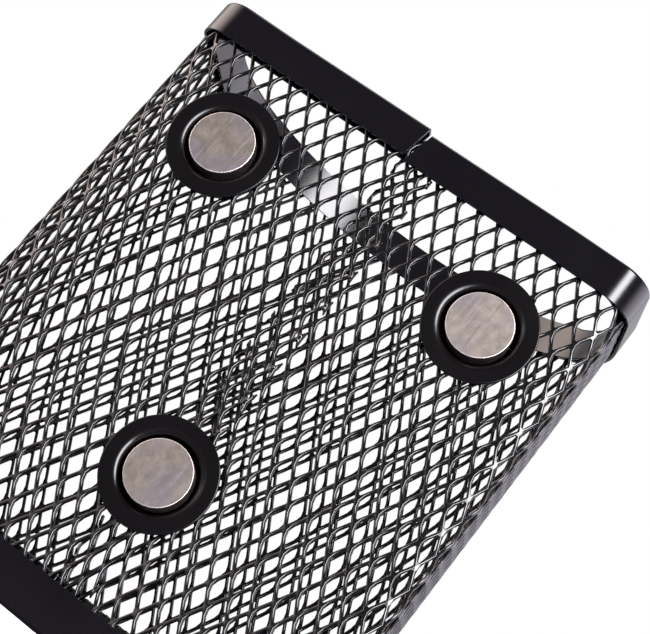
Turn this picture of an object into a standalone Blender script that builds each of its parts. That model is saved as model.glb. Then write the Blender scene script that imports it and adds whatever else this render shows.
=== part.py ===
"""Half-round magnetic storage box of expanded steel mesh.

One mesh sheet is wrapped into a D-shaped wall and lapped at the middle of its flat back.
A folded steel channel binds the top edge, a second one binds the bottom edge together
with the skirt of a mesh floor, and three pressed dishes on the back hold disc magnets.

Metres, +Z up. The box stands on its base rim, the flat back with the magnets faces +Y
and the curved front faces -Y. The origin is the bottom centre of the bounding box.
Left and right of the magnet stations are those of a person who faces the magnets.
"""

import math
from typing import NamedTuple

import bmesh
import bpy
from mathutils import Vector

MM = 0.001

# Body of the box, measured over the rims
WIDTH = 80.0 * MM
DEPTH = 50.0 * MM
HEIGHT = 92.0 * MM
BACK_CORNER_RADIUS = 5.5 * MM
SIDE_DEPTH = 17.5 * MM

# Folded steel rims
RIM_SHEET = 0.45 * MM
RIM_FOLD_RADIUS = 0.6 * MM
TOP_RIM_HEIGHT = 6.2 * MM
TOP_RIM_SPLIT = 0.8 * MM
BASE_RIM_HEIGHT = 7.0 * MM

# Expanded mesh of the wall and the floor
MESH_SHEET = 0.4 * MM
MESH_STRAND = 1.6 * MM
WALL_SHORT_PITCH = 10.5 * MM
WALL_LONG_PITCH = 18.0 * MM
MESH_END_GAP = 0.8 * MM
LAP_WIDTH = 6.0 * MM
LAP_SHIFT = 1.7 * MM
LAP_JOG = 5.0 * MM
FLOOR_SHEET = 0.45 * MM
FLOOR_BORDER = 2.0 * MM
FLOOR_SHORT_PITCH = 7.0 * MM
FLOOR_LONG_PITCH = 12.0 * MM

# Magnet stations on the back
MAGNET_SIDE_MARGIN = 16.3 * MM
UPPER_MAGNET_DROP = 20.5 * MM
LOWER_MAGNET_HEIGHT = 27.0 * MM
LOWER_MAGNET_SHIFT = 1.2 * MM
MAGNET_DIAMETER = 10.0 * MM
MAGNET_THICKNESS = 3.0 * MM
MAGNET_CHAMFER = 0.3 * MM
MAGNET_PROUD = 0.5 * MM
MAGNET_SIDE_GAP = 0.55 * MM
GLUE_THICKNESS = 0.3 * MM
GLUE_MARGIN = 0.8 * MM
DISH_DIAMETER = 17.2 * MM
DISH_SHEET = 0.5 * MM
DISH_LIP_RADIUS = 1.4 * MM
DISH_FLOOR_RADIUS = 0.8 * MM
CLAMP_RING_DIAMETER = 16.0 * MM
CLAMP_RING_THICKNESS = 0.8 * MM

# Gaps between pieces that touch, and the play of the mesh inside a rim
TOUCH_GAP = 0.3 * MM
RIM_PLAY = 0.25 * MM

# Points closer than this are one point
MERGE_DISTANCE = 0.01 * MM

# Facets of the curved shapes
CORNER_FACETS = 6
FRONT_FACETS = 30
ROUND_FACETS = 24
ARC_FACETS = 3
FOLD_FACETS = 1

# Depths inwards from the outer face of the rims
WALL_INSET = RIM_SHEET + RIM_PLAY + MESH_SHEET / 2
LAP_STEP = MESH_SHEET + RIM_PLAY
LAP_INNER_FACE = WALL_INSET + LAP_STEP + MESH_SHEET / 2
TOP_RIM_THICKNESS = LAP_INNER_FACE + RIM_PLAY + RIM_SHEET
SKIRT_INSET = LAP_INNER_FACE + RIM_PLAY + FLOOR_SHEET / 2
BASE_RIM_THICKNESS = SKIRT_INSET + FLOOR_SHEET / 2 + RIM_PLAY + RIM_SHEET

# Dish and magnet stack, measured along the dish axis from the front of its flange
CUP_RADIUS = MAGNET_DIAMETER / 2 + MAGNET_SIDE_GAP
GLUE_FRONT = MAGNET_PROUD - MAGNET_THICKNESS - TOUCH_GAP
CUP_FLOOR = GLUE_FRONT - GLUE_THICKNESS - TOUCH_GAP
MESH_FRONT = -DISH_SHEET - TOUCH_GAP
FLANGE_INSET = RIM_SHEET + RIM_PLAY + MESH_FRONT

# The bounding box runs from the front rim to the magnet faces
MAGNET_REACH = max(MAGNET_PROUD - FLANGE_INSET, 0.0)
BACK_Y = (DEPTH - MAGNET_REACH) / 2
FRONT_CENTRE_Y = BACK_Y - SIDE_DEPTH
FRONT_REACH = DEPTH - SIDE_DEPTH


class Station(NamedTuple):
    """A place on the outline of the box, with the direction that points out of it."""

    place: Vector
    outward: Vector

    def at(self, inset, height):
        """Point at a depth inside the outline and at a height."""
        flat = self.place - self.outward * inset
        return Vector((flat.x, flat.y, height))


def corner_stations(side):
    """Arc of one back corner, from the back to the side."""
    centre = Vector((side * (WIDTH / 2 - BACK_CORNER_RADIUS), BACK_Y - BACK_CORNER_RADIUS))
    stations = []
    for step in range(CORNER_FACETS + 1):
        angle = math.pi / 2 * step / CORNER_FACETS
        outward = Vector((side * math.sin(angle), math.cos(angle)))
        stations.append(Station(centre + outward * BACK_CORNER_RADIUS, outward))
    return stations


def front_stations():
    """Half ellipse of the front, from the -X side to the +X side."""
    centre = Vector((0.0, FRONT_CENTRE_Y))
    stations = []
    for step in range(FRONT_FACETS + 1):
        angle = math.pi * step / FRONT_FACETS
        reach = Vector((-math.cos(angle) * WIDTH / 2, -math.sin(angle) * FRONT_REACH))
        outward = Vector((reach.x / (WIDTH / 2) ** 2, reach.y / FRONT_REACH ** 2)).normalized()
        stations.append(Station(centre + reach, outward))
    return stations


def outline():
    """Whole outline except the middle of the back, from the -X back corner to the +X one."""
    return corner_stations(-1) + front_stations() + corner_stations(1)[::-1]


def back_station(x):
    """Station on the flat back."""
    return Station(Vector((x, BACK_Y)), Vector((0.0, 1.0)))


class WallPath:
    """Run of the mesh sheet round the box: an inner lapped end, one turn, an outer end."""

    def __init__(self):
        self.start_x = LAP_WIDTH / 2 - LAP_SHIFT
        self.end_x = self.start_x - LAP_WIDTH
        stations = [back_station(self.start_x), *outline(), back_station(self.end_x)]
        self.stations = stations
        self.runs = [0.0]
        for here, there in zip(stations, stations[1:]):
            step = there.at(WALL_INSET, 0.0) - here.at(WALL_INSET, 0.0)
            self.runs.append(self.runs[-1] + step.length)
        self.length = self.runs[-1]

    def bends(self):
        """Runs of the tight bends: both ends of the lap's jog and the back corners."""
        corner = CORNER_FACETS + 2
        corner_runs = self.runs[1:corner] + self.runs[-corner:-1]
        return [LAP_WIDTH, LAP_WIDTH + LAP_JOG, *corner_runs]

    def point(self, run, height):
        """Point of the sheet's middle surface at a length along the sheet."""
        last = len(self.stations) - 2
        leg = min(max(sum(1 for start in self.runs if start <= run) - 1, 0), last)
        here, there = self.stations[leg], self.stations[leg + 1]
        share = (run - self.runs[leg]) / (self.runs[leg + 1] - self.runs[leg])
        jog = min(max((LAP_WIDTH + LAP_JOG - run) / LAP_JOG, 0.0), 1.0)
        inset = WALL_INSET + LAP_STEP * jog
        return here.at(inset, height).lerp(there.at(inset, height), share)


def new_collection(name):
    """Collection under the scene's own."""
    collection = bpy.data.collections.new(name)
    bpy.context.scene.collection.children.link(collection)
    return collection


def coating(name, colour, roughness, metallic):
    """Plain surface finish."""
    material = bpy.data.materials.new(name)
    material.use_nodes = True
    shader = material.node_tree.nodes["Principled BSDF"]
    shader.inputs["Base Color"].default_value = (*colour, 1.0)
    shader.inputs["Roughness"].default_value = roughness
    shader.inputs["Metallic"].default_value = metallic
    return material


def add_object(name, bm, collection, parent=None, finish=None):
    """Turn a bmesh into a named object."""
    mesh = bpy.data.meshes.new(name)
    bm.to_mesh(mesh)
    bm.free()
    piece = bpy.data.objects.new(name, mesh)
    collection.objects.link(piece)
    piece.parent = parent
    if finish:
        mesh.materials.append(finish)
    return piece


def add_empty(name, collection, parent=None):
    """Plain axes that carry other objects."""
    empty = bpy.data.objects.new(name, None)
    collection.objects.link(empty)
    empty.parent = parent
    return empty


def thicken(piece, thickness, offset=0.0):
    """Give an open sheet its thickness, about its middle or to one side of it."""
    solidify = piece.modifiers.new("sheet", "SOLIDIFY")
    solidify.thickness = thickness
    solidify.offset = offset
    solidify.use_even_offset = True


def cut(piece, cutter):
    """Subtract a cutter from a piece."""
    boolean = piece.modifiers.new(cutter.name, "BOOLEAN")
    boolean.operation = "DIFFERENCE"
    boolean.object = cutter
    boolean.solver = "EXACT"


def turn_round(piece, facets=ROUND_FACETS):
    """Turn a profile about the local Z axis."""
    screw = piece.modifiers.new("turned", "SCREW")
    screw.axis = "Z"
    screw.steps = facets
    screw.render_steps = facets
    screw.use_merge_vertices = True
    screw.merge_threshold = MERGE_DISTANCE


def hide_cutter(cutter):
    """Show a cutter as wire only."""
    cutter.hide_render = True
    cutter.display_type = "WIRE"


def profile_wire(points, closed=False):
    """Wire in the XZ plane through (radius, height) points."""
    bm = bmesh.new()
    verts = [bm.verts.new((radius, 0.0, height)) for radius, height in points]
    for here, there in zip(verts, verts[1:]):
        bm.edges.new((here, there))
    if closed:
        bm.edges.new((verts[-1], verts[0]))
    return bm


def arc(centre, radius, start, end):
    """Points of an arc in (radius, height) coordinates, angles in degrees."""
    points = []
    for step in range(ARC_FACETS + 1):
        angle = math.radians(start + (end - start) * step / ARC_FACETS)
        points.append((centre[0] + radius * math.cos(angle), centre[1] + radius * math.sin(angle)))
    return points


def swept_sheet(stations, levels, closed):
    """Sheet that follows the outline, extruded from one (inset, height) level to the next.

    The inner levels, where the sheet folds, are rounded.
    """
    bm = bmesh.new()
    number = bm.verts.layers.int.new("station")
    inset, height = levels[0]
    verts = []
    for index, station in enumerate(stations):
        vert = bm.verts.new(station.at(inset, height))
        vert[number] = index
        verts.append(vert)
    wire = [bm.edges.new(pair) for pair in zip(verts, verts[1:])]
    if closed:
        wire.append(bm.edges.new((verts[-1], verts[0])))
    folds = []
    for inset, height in levels[1:]:
        grown = bmesh.ops.extrude_edge_only(bm, edges=wire)["geom"]
        fresh = {item for item in grown if isinstance(item, bmesh.types.BMVert)}
        for vert in fresh:
            vert.co = stations[vert[number]].at(inset, height)
        edges = [item for item in grown if isinstance(item, bmesh.types.BMEdge)]
        wire = [edge for edge in edges if edge.verts[0] in fresh and edge.verts[1] in fresh]
        folds.append(wire)
    return bm, folds


def round_folds(bm, folds):
    """Round the bends of a swept sheet."""
    edges = [edge for fold in folds for edge in fold]
    bmesh.ops.bevel(bm, geom=edges, affect="EDGES", offset=RIM_FOLD_RADIUS,
                    segments=FOLD_FACETS, profile=0.5)


def diamond_sheet(length, height, short_pitch, long_pitch):
    """Flat sheet divided into the mesh's diamonds, from a grid poked at its centres."""
    columns = max(round(length / short_pitch), 1)
    rows = max(round(height / long_pitch), 1)
    bm = bmesh.new()
    bmesh.ops.create_grid(bm, x_segments=columns, y_segments=rows, size=0.5)
    bmesh.ops.scale(bm, vec=(length, height, 1.0), verts=bm.verts)
    grid_edges = [edge for edge in bm.edges if len(edge.link_faces) == 2]
    bmesh.ops.poke(bm, faces=bm.faces)
    bmesh.ops.dissolve_edges(bm, edges=grid_edges, use_verts=False)
    return bm


def inset_openings(bm):
    """Narrow every diamond to its opening and return the openings."""
    openings = list(bm.faces)
    bmesh.ops.inset_individual(bm, faces=openings, thickness=MESH_STRAND / 2, use_even_offset=True)
    return openings


def build_mesh_wall(parts, cutters, box, finish, stations):
    """Mesh sheet wrapped round the box, lapped at the back and pierced for the dishes."""
    path = WallPath()
    low = RIM_SHEET + MESH_END_GAP
    high = HEIGHT - RIM_SHEET - MESH_END_GAP
    bm = diamond_sheet(path.length, high - low, WALL_SHORT_PITCH, WALL_LONG_PITCH)
    bmesh.ops.delete(bm, geom=inset_openings(bm), context="FACES")
    bmesh.ops.translate(bm, vec=(path.length / 2, (low + high) / 2, 0.0), verts=bm.verts)
    for bend in path.bends():
        everything = [*bm.verts, *bm.edges, *bm.faces]
        bmesh.ops.bisect_plane(bm, geom=everything, dist=MERGE_DISTANCE,
                               plane_co=(bend, 0.0, 0.0), plane_no=(1.0, 0.0, 0.0))
    for vert in bm.verts:
        vert.co = path.point(vert.co.x, vert.co.y)
    wall = add_object("mesh_wall", bm, parts, box, finish)
    thicken(wall, MESH_SHEET)
    for name, station in stations.items():
        hole = bmesh.new()
        radius = CUP_RADIUS + DISH_LIP_RADIUS
        reach = 2 * (LAP_INNER_FACE + DISH_DIAMETER / 2)
        bmesh.ops.create_cone(hole, cap_ends=True, segments=ROUND_FACETS,
                              radius1=radius, radius2=radius, depth=reach)
        cutter = add_object(f"hole_{name}", hole, cutters, station)
        hide_cutter(cutter)
        cut(wall, cutter)


def build_mesh_floor(parts, cutters, box, finish):
    """Pierced floor plate whose skirt turns down into the base rim."""
    plate_height = BASE_RIM_HEIGHT + TOUCH_GAP + FLOOR_SHEET / 2
    levels = [(SKIRT_INSET, RIM_SHEET + MESH_END_GAP), (SKIRT_INSET, plate_height)]
    rim_line = outline()
    bm, folds = swept_sheet(rim_line, levels, closed=True)
    bmesh.ops.contextual_create(bm, geom=folds[-1])
    bmesh.ops.recalc_face_normals(bm, faces=bm.faces)
    floor = add_object("mesh_floor", bm, parts, box, finish)
    thicken(floor, FLOOR_SHEET)

    holes = diamond_sheet(WIDTH, DEPTH, FLOOR_SHORT_PITCH, FLOOR_LONG_PITCH)
    openings = inset_openings(holes)
    centre_y = BACK_Y - DEPTH / 2
    bmesh.ops.translate(holes, vec=(0.0, centre_y, plate_height), verts=holes.verts)
    kept = {face for face in openings if all(inside_floor(vert.co) for vert in face.verts)}
    bmesh.ops.delete(holes, geom=[face for face in holes.faces if face not in kept], context="FACES")
    cutter = add_object("floor_openings", holes, cutters, box)
    thicken(cutter, 4 * FLOOR_SHEET)
    hide_cutter(cutter)
    cut(floor, cutter)


def inside_floor(point):
    """True where a point of the floor lies inside its solid border."""
    border = SKIRT_INSET + FLOOR_BORDER
    across = abs(point.x) / (WIDTH / 2 - border)
    if point.y > FRONT_CENTRE_Y:
        return across < 1.0 and point.y < BACK_Y - border
    along = (FRONT_CENTRE_Y - point.y) / (FRONT_REACH - border)
    return across ** 2 + along ** 2 < 1.0


def build_top_rim(parts, box, finish):
    """Folded channel over the top edge, split at the middle of the back."""
    start = back_station(-TOP_RIM_SPLIT / 2)
    end = back_station(TOP_RIM_SPLIT / 2)
    web = HEIGHT - RIM_SHEET / 2
    edge = HEIGHT - TOP_RIM_HEIGHT
    near = RIM_SHEET / 2
    far = TOP_RIM_THICKNESS - RIM_SHEET / 2
    levels = [(near, edge), (near, web), (far, web), (far, edge)]
    bm, folds = swept_sheet([start, *outline(), end], levels, closed=False)
    round_folds(bm, folds[:-1])
    thicken(add_object("top_rim", bm, parts, box, finish), RIM_SHEET)


def build_base_rim(parts, box, finish):
    """Folded channel under the bottom edge, which the box stands on."""
    web = RIM_SHEET / 2
    near = RIM_SHEET / 2
    far = BASE_RIM_THICKNESS - RIM_SHEET / 2
    levels = [(near, BASE_RIM_HEIGHT), (near, web), (far, web), (far, BASE_RIM_HEIGHT)]
    bm, folds = swept_sheet(outline(), levels, closed=True)
    round_folds(bm, folds[:-1])
    thicken(add_object("base_rim", bm, parts, box, finish), RIM_SHEET)


def place_stations(parts, box):
    """Axes of the magnet stations: on the flange front, local +Z out of the back."""
    half = WIDTH / 2 - MAGNET_SIDE_MARGIN
    upper = HEIGHT - UPPER_MAGNET_DROP
    places = {
        "upper_left": (half, upper),
        "upper_right": (-half, upper),
        "lower": (-LOWER_MAGNET_SHIFT, LOWER_MAGNET_HEIGHT),
    }
    stations = {}
    for name, (x, height) in places.items():
        station = add_empty(f"station_{name}", parts, box)
        station.location = (x, BACK_Y - FLANGE_INSET, height)
        station.rotation_euler = (-math.pi / 2, 0.0, 0.0)
        stations[name] = station
    return stations


def build_dish(name, parts, station, finish):
    """Pressed dish: a flat flange, a rounded lip and a cup for the magnet."""
    lip_centre = (CUP_RADIUS + DISH_LIP_RADIUS, -DISH_LIP_RADIUS)
    floor_centre = (CUP_RADIUS - DISH_FLOOR_RADIUS, CUP_FLOOR + DISH_FLOOR_RADIUS)
    points = [
        (DISH_DIAMETER / 2, 0.0),
        *arc(lip_centre, DISH_LIP_RADIUS, 90.0, 180.0),
        *arc(floor_centre, DISH_FLOOR_RADIUS, 0.0, -90.0),
        (0.0, CUP_FLOOR),
    ]
    dish = add_object(f"magnet_dish_{name}", profile_wire(points), parts, station, finish)
    turn_round(dish)
    thicken(dish, DISH_SHEET, offset=1.0)


def build_magnet(name, parts, station, finish):
    """Disc magnet with chamfered edges, a little proud of its dish."""
    bm = bmesh.new()
    bmesh.ops.create_cone(bm, cap_ends=True, segments=ROUND_FACETS, radius1=MAGNET_DIAMETER / 2,
                          radius2=MAGNET_DIAMETER / 2, depth=MAGNET_THICKNESS)
    magnet = add_object(f"disc_magnet_{name}", bm, parts, station, finish)
    magnet.location.z = MAGNET_PROUD - MAGNET_THICKNESS / 2
    chamfer = magnet.modifiers.new("chamfer", "BEVEL")
    chamfer.width = MAGNET_CHAMFER
    chamfer.segments = 1


def build_glue(name, parts, station, finish):
    """Disc of glue between the magnet and the floor of its dish."""
    radius = MAGNET_DIAMETER / 2 - GLUE_MARGIN
    bm = bmesh.new()
    bmesh.ops.create_cone(bm, cap_ends=True, segments=ROUND_FACETS, radius1=radius,
                          radius2=radius, depth=GLUE_THICKNESS)
    glue = add_object(f"magnet_glue_{name}", bm, parts, station, finish)
    glue.location.z = GLUE_FRONT - GLUE_THICKNESS / 2


def build_clamp_ring(name, parts, station, finish, layers):
    """Ring pushed over the cup inside the box, which clamps the mesh against the flange."""
    front = MESH_FRONT - MESH_SHEET - LAP_STEP * (layers - 1) - TOUCH_GAP
    back = front - CLAMP_RING_THICKNESS
    inner = CUP_RADIUS + DISH_SHEET + TOUCH_GAP
    outer = CLAMP_RING_DIAMETER / 2
    points = [(outer, front), (outer, back), (inner, back), (inner, front)]
    ring = add_object(f"clamp_ring_{name}", profile_wire(points, closed=True), parts, station, finish)
    turn_round(ring)


def clear_scene():
    """Remove what a new file holds."""
    for item in list(bpy.data.objects):
        bpy.data.objects.remove(item, do_unlink=True)


def main():
    """Build every piece of the box."""
    clear_scene()
    parts = new_collection("magnetic_storage_box")
    cutters = new_collection("cutters")
    box = add_empty("box", parts)
    black = coating("black_powder_coat", (0.013, 0.012, 0.015), 0.38, 0.0)
    nickel = coating("nickel_plate", (0.42, 0.39, 0.36), 0.35, 1.0)
    glue = coating("clear_glue", (0.55, 0.50, 0.38), 0.30, 0.0)

    stations = place_stations(parts, box)
    build_mesh_wall(parts, cutters, box, black, stations)
    build_mesh_floor(parts, cutters, box, black)
    build_top_rim(parts, box, black)
    build_base_rim(parts, box, black)
    for name, station in stations.items():
        build_dish(name, parts, station, black)
        build_magnet(name, parts, station, nickel)
        build_glue(name, parts, station, glue)
        layers = 2 if name == "lower" else 1
        build_clamp_ring(name, parts, station, black, layers)


main()
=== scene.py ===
"""Half-round magnetic storage box of black expanded steel mesh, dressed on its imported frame.

The wall and the floor get the true expanded mesh, the rims their folded edges and open seam,
and the magnet stations their pressed dishes, nickel-plated discs, glue and clamp rings.
"""

import bisect
import logging
import math
from dataclasses import dataclass, field
from enum import Enum
from functools import cached_property
from typing import Any, NamedTuple, Sequence

import bmesh
import bpy
from bmesh.types import BMEdge, BMesh, BMFace, BMVert
from bpy.types import Material, Node, NodeSocket, NodeTree, Object
from mathutils import Matrix, Vector


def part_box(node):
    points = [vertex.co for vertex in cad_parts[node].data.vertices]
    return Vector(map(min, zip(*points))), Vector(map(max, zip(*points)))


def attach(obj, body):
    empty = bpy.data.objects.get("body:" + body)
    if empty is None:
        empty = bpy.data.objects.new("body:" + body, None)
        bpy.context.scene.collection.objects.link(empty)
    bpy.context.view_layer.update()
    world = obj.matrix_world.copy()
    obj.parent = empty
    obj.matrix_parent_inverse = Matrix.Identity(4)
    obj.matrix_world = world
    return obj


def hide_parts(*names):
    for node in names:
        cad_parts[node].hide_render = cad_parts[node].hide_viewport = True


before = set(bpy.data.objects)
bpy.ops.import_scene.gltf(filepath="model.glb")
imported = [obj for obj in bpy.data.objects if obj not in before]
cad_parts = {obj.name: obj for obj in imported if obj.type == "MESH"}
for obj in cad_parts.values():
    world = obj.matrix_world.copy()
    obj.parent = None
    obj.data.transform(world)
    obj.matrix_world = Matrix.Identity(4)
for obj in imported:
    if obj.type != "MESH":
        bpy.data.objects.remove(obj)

Pair = tuple[float, float]

MM = 0.001
MERGE_DISTANCE = 0.002 * MM
FOLD_STEPS = 4
# Most values of a noise texture lie in this range
NOISE_SPAN = (0.3, 0.7)
BODY = "root"

log = logging.getLogger("magnetic_storage_box")


class Slot(Enum):
    """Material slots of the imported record."""

    COAT = "black_powder_coat"
    NICKEL = "nickel_plate"
    GLUE = "clear_glue"


class Seat(Enum):
    """Magnet stations on the back, named as seen by a person who faces the magnets."""

    UPPER_LEFT = "upper_left"
    UPPER_RIGHT = "upper_right"
    LOWER = "lower"


def between(pair: Pair, share: float) -> float:
    """Value this share of the way from the first of a pair to the second."""
    return pair[0] + (pair[1] - pair[0]) * share


class Station(NamedTuple):
    """A place on the plan of the box, with the level direction that points out of it."""

    place: Vector
    outward: Vector

    def at(self, inset: float, height: float) -> Vector:
        """Point this far inwards from the plan and this high above the floor."""
        flat = self.place - self.outward * inset
        return Vector((flat.x, flat.y, height))


@dataclass(frozen=True)
class Plan:
    """D-shaped plan over the rims: flat back, round back corners, half-elliptic front."""

    half_width: float
    back: float
    front: float
    corner_radius: float = 5.5 * MM
    side_depth: float = 17.5 * MM
    corner_steps: int = 14
    front_steps: int = 96

    @classmethod
    def of_frame(cls) -> "Plan":
        """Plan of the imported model, read from the size of its base rim."""
        low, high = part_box("base_rim")
        return cls(half_width=high.x, back=high.y, front=low.y)

    @property
    def turn_y(self) -> float:
        """Where the straight sides end and the half ellipse of the front begins."""
        return self.back - self.side_depth

    @property
    def reach(self) -> float:
        """Depth of the half ellipse."""
        return self.turn_y - self.front

    def corner(self, side: int) -> list[Station]:
        """Arc of one back corner, from the back to the side.

        Args:
            side: 1 for the +X corner, -1 for the -X one.

        Returns:
            Stations along the arc.
        """
        centre = Vector((side * (self.half_width - self.corner_radius), self.back - self.corner_radius))
        stations = []
        for step in range(self.corner_steps + 1):
            angle = math.pi / 2 * step / self.corner_steps
            outward = Vector((side * math.sin(angle), math.cos(angle)))
            stations.append(Station(centre + outward * self.corner_radius, outward))
        return stations

    def front_arc(self) -> list[Station]:
        """Half ellipse of the front, from the -X side to the +X side.

        Returns:
            Stations along the half ellipse.
        """
        stations = []
        for step in range(self.front_steps + 1):
            angle = math.pi * step / self.front_steps
            arm = Vector((-math.cos(angle) * self.half_width, -math.sin(angle) * self.reach))
            outward = Vector((arm.x / self.half_width ** 2, arm.y / self.reach ** 2)).normalized()
            stations.append(Station(Vector((0.0, self.turn_y)) + arm, outward))
        return stations

    def line(self) -> list[Station]:
        """Whole plan but for the middle of the back, from the -X back corner to the +X one."""
        return self.corner(-1) + self.front_arc() + self.corner(1)[::-1]

    def on_back(self, x: float) -> Station:
        """Station on the flat back at a place along X."""
        return Station(Vector((x, self.back)), Vector((0.0, 1.0)))

    def holds(self, point: Vector, inset: float) -> bool:
        """Tell whether a point lies inside the plan.

        Args:
            point: Point in the row frame.
            inset: How far inside the plan the border is drawn.

        Returns:
            True inside that border.
        """
        across = abs(point.x) / (self.half_width - inset)
        if point.y > self.turn_y:
            return across < 1.0 and point.y < self.back - inset
        along = (self.turn_y - point.y) / (self.reach - inset)
        return across ** 2 + along ** 2 < 1.0


@dataclass
class WallRun:
    """Way of the mesh sheet round the box: an inner lapped end, one turn, an outer end."""

    plan: Plan
    inset: float
    lap_step: float = 0.65 * MM
    lap_width: float = 6.0 * MM
    lap_shift: float = 1.7 * MM
    lap_jog: float = 5.0 * MM
    stations: list[Station] = field(default_factory=list)
    runs: list[float] = field(default_factory=list)

    def __post_init__(self) -> None:
        """Measure the way along the middle of the sheet."""
        start = self.lap_width / 2 - self.lap_shift
        end = start - self.lap_width
        self.stations = [self.plan.on_back(start), *self.plan.line(), self.plan.on_back(end)]
        self.runs = [0.0]
        for here, there in zip(self.stations, self.stations[1:]):
            step = there.at(self.inset, 0.0) - here.at(self.inset, 0.0)
            self.runs.append(self.runs[-1] + step.length)

    @property
    def length(self) -> float:
        """Length of the sheet."""
        return self.runs[-1]

    def point(self, run: float, height: float, rise: float) -> Vector:
        """Wrap a point of the flat sheet round the box.

        Args:
            run: Length along the sheet.
            height: Height above the floor.
            rise: Distance out of the middle of the sheet.

        Returns:
            The point in the row frame.
        """
        leg = min(max(bisect.bisect_right(self.runs, run) - 1, 0), len(self.runs) - 2)
        here, there = self.stations[leg], self.stations[leg + 1]
        share = (run - self.runs[leg]) / (self.runs[leg + 1] - self.runs[leg])
        jog = min(max((self.lap_width + self.lap_jog - run) / self.lap_jog, 0.0), 1.0)
        inset = self.inset + self.lap_step * jog - rise
        return here.at(inset, height).lerp(there.at(inset, height), share)


def linear(code: str) -> tuple[float, float, float, float]:
    """Turn an sRGB hex colour into linear light.

    Args:
        code: Colour such as "#1E1C21".

    Returns:
        Linear red, green, blue and full alpha.
    """
    channels = []
    for start in (1, 3, 5):
        value = int(code[start:start + 2], 16) / 255.0
        channels.append(value / 12.92 if value <= 0.04045 else ((value + 0.055) / 1.055) ** 2.4)
    return (*channels, 1.0)


def fill(tree: NodeTree, node: Node, inputs: dict[Any, Any]) -> None:
    """Set or link the inputs of a node.

    Args:
        tree: Node tree that holds the node.
        node: Node to fill.
        inputs: Values, output sockets or nodes by input name or number; of a node, the first output
            in use is linked.
    """
    for socket, value in inputs.items():
        if isinstance(value, Node):
            value = next(output for output in value.outputs if output.enabled)
        if isinstance(value, NodeSocket):
            tree.links.new(value, node.inputs[socket])
        else:
            node.inputs[socket].default_value = value


def add_node(tree: NodeTree, kind: str, inputs: dict[Any, Any], **settings: Any) -> Node:
    """Add a shader node with its options and inputs.

    Args:
        tree: Node tree that takes the node.
        kind: Node type, without the first words that all of them share.
        inputs: What fill takes.
        **settings: Options of the node.

    Returns:
        The node.
    """
    node = tree.nodes.new(f"ShaderNode{kind}")
    for option, value in settings.items():
        setattr(node, option, value)
    fill(tree, node, inputs)
    return node


def ranges(source: Pair, target: Pair = (0.0, 1.0)) -> dict[str, float]:
    """Inputs of a range node that carries one span of values to another."""
    return {"From Min": source[0], "From Max": source[1], "To Min": target[0], "To Max": target[1]}


def fresh_material(name: str) -> tuple[Material, NodeTree, Node, NodeSocket]:
    """Start a node material.

    Args:
        name: Name of the finish.

    Returns:
        The material, its node tree, its Principled shader and the Object coordinates.
    """
    material = bpy.data.materials.new(name)
    material.use_nodes = True
    tree = material.node_tree
    place = add_node(tree, "TexCoord", {}).outputs["Object"]
    return material, tree, tree.nodes["Principled BSDF"], place


@dataclass(frozen=True)
class PowderCoat:
    """Baked black powder over sheet steel: a satin skin with fine orange peel and stray dust.

    A two-faced coat is drier and duller on the inside of the box, where the layer "inside" is 1.
    """

    name: str
    deep: str
    paler: str
    roughness: Pair
    specular: float
    cloud_size: float = 9.0 * MM
    peel_size: float = 0.35 * MM
    peel_height: float = 0.004 * MM
    dust: str = "#8C8A8E"
    dust_spacing: float = 7.0 * MM
    dust_radius: float = 0.11 * MM
    dust_share: float = 0.3
    two_faced: bool = False
    inside_roughness: float = 0.5
    inside_specular: float = 0.12

    def build(self) -> Material:
        """Make the material.

        Returns:
            The finished material.
        """
        material, tree, shader, place = fresh_material(self.name)
        cloud = add_node(tree, "TexNoise", {"Vector": place, "Scale": 1 / self.cloud_size, "Detail": 4.0})
        peel = add_node(tree, "TexNoise", {"Vector": place, "Scale": 1 / self.peel_size, "Detail": 2.0})
        tone = add_node(
            tree, "Mix", {"Factor": cloud, "A": linear(self.deep), "B": linear(self.paler)},
            data_type="RGBA")
        cells = add_node(tree, "TexVoronoi", {"Vector": place, "Scale": 1 / self.dust_spacing})
        speck = add_node(
            tree, "Math", {0: cells, 1: self.dust_radius / self.dust_spacing}, operation="LESS_THAN")
        chance = add_node(tree, "SeparateColor", {"Color": cells.outputs["Color"]})
        chosen = add_node(tree, "Math", {0: chance, 1: self.dust_share}, operation="LESS_THAN")
        dust = add_node(tree, "Math", {0: speck, 1: chosen}, operation="MULTIPLY")
        dusted = add_node(
            tree, "Mix", {"Factor": dust, "A": tone, "B": linear(self.dust)}, data_type="RGBA")
        rough = add_node(tree, "MapRange", {"Value": cloud, **ranges(NOISE_SPAN, self.roughness)})
        relief = add_node(
            tree, "Bump", {"Height": peel, "Distance": self.peel_height, "Strength": 1.0})
        fill(tree, shader, {
            "Base Color": dusted, "Normal": relief, "Specular IOR Level": self.specular})
        if self.two_faced:
            inside = add_node(tree, "Attribute", {}, attribute_name="inside").outputs["Fac"]
            rough = add_node(tree, "Mix", {"Factor": inside, "A": rough, "B": self.inside_roughness})
            gloss = add_node(
                tree, "Mix", {"Factor": inside, "A": self.specular, "B": self.inside_specular})
            fill(tree, shader, {"Specular IOR Level": gloss})
        fill(tree, shader, {"Roughness": rough})
        return material


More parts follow.
